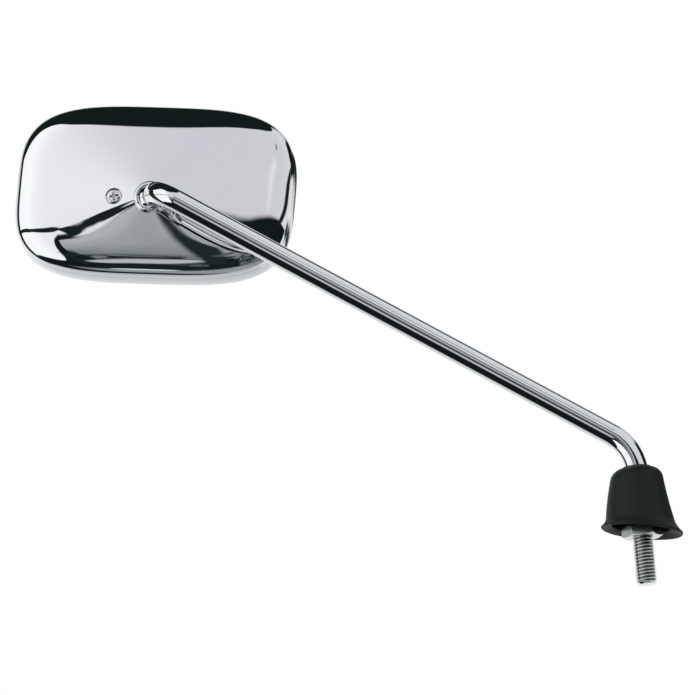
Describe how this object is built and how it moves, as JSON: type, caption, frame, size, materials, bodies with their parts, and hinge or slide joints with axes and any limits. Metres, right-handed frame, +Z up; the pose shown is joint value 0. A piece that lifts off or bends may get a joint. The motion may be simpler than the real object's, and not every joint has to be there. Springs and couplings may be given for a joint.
{
  "type": "motorcycle mirror",
  "caption": "Chromed motorcycle rear-view mirror with a rounded rectangular head on a clamped ball joint, a bent rod stem, a rubber boot and a threaded stud.",
  "frame": {"origin": "on the stud's axis, at the lock nut's lower face, where the nut seats on the mirror boss", "axes": "+Z up the stud, -X towards the mirror head along the arm, +Y the way the glass looks"},
  "size_m": [0.2848, 0.0764, 0.2481],
  "materials": {
    "chrome_steel": "polished chrome plate on a steel rod",
    "chrome_plastic": "chrome plate on moulded ABS",
    "bezel_plastic": "chrome plate on moulded ABS, satin",
    "zinc_steel": "bright zinc plate",
    "boot_rubber": "matt moulded rubber",
    "gasket_rubber": "moulded rubber",
    "mirror_glass": "silvered convex glass",
    "pad_foam": "closed-cell foam",
    "cup_nylon": "moulded nylon",
    "spring_steel": "phosphated spring steel"
  },
  "bodies": {
    "stem": {"stem": "chrome_steel"},
    "nut": {"lock_nut": "zinc_steel"},
    "boot": {"rubber_boot": "boot_rubber"},
    "cup": {"pressure_cup": "cup_nylon"},
    "dish": {"friction_washer": "spring_steel"},
    "head": {"head_shell": "chrome_plastic", "bezel": "bezel_plastic", "mirror_glass": "mirror_glass", "glass_gasket": "gasket_rubber", "glass_pad": "pad_foam", "clamp_plate": "zinc_steel", "spring_washer": "spring_steel", "clamp_nut": "zinc_steel"},
    "screw": {"clamp_screw": "zinc_steel"}
  },
  "joints": [
    {"name": "head_pan", "type": "hinge", "parent": "stem", "child": "cup", "pos_m": [-0.20557, 0.02765, 0.17882], "axis": [0, 0, 1], "range_deg": [-4, 32]},
    {"name": "head_tilt", "type": "hinge", "parent": "cup", "child": "dish", "pos_m": [-0.20557, 0.02765, 0.17882], "axis": [0.9936, -0.1132, 0], "range_deg": [-4, 32]},
    {"name": "head_spin", "type": "hinge", "parent": "dish", "child": "head", "pos_m": [-0.20557, 0.02765, 0.17882], "axis": [-0.1119, -0.9821, 0.1513], "continuous": true},
    {"name": "clamp_screw_turn", "type": "hinge", "parent": "head", "child": "screw", "pos_m": [-0.22164, 0.02986, 0.18124], "axis": [-0.1119, -0.9821, 0.1513], "continuous": true},
    {"name": "boot_slide", "type": "slide", "parent": "stem", "child": "boot", "axis": [0, 0, 1], "range_m": [-0.0185, 0]},
    {"name": "lock_nut_turn", "type": "hinge", "parent": "stem", "child": "nut", "pos_m": [0, 0, 0.0025], "axis": [0, 0, 1], "continuous": true}
  ]
}
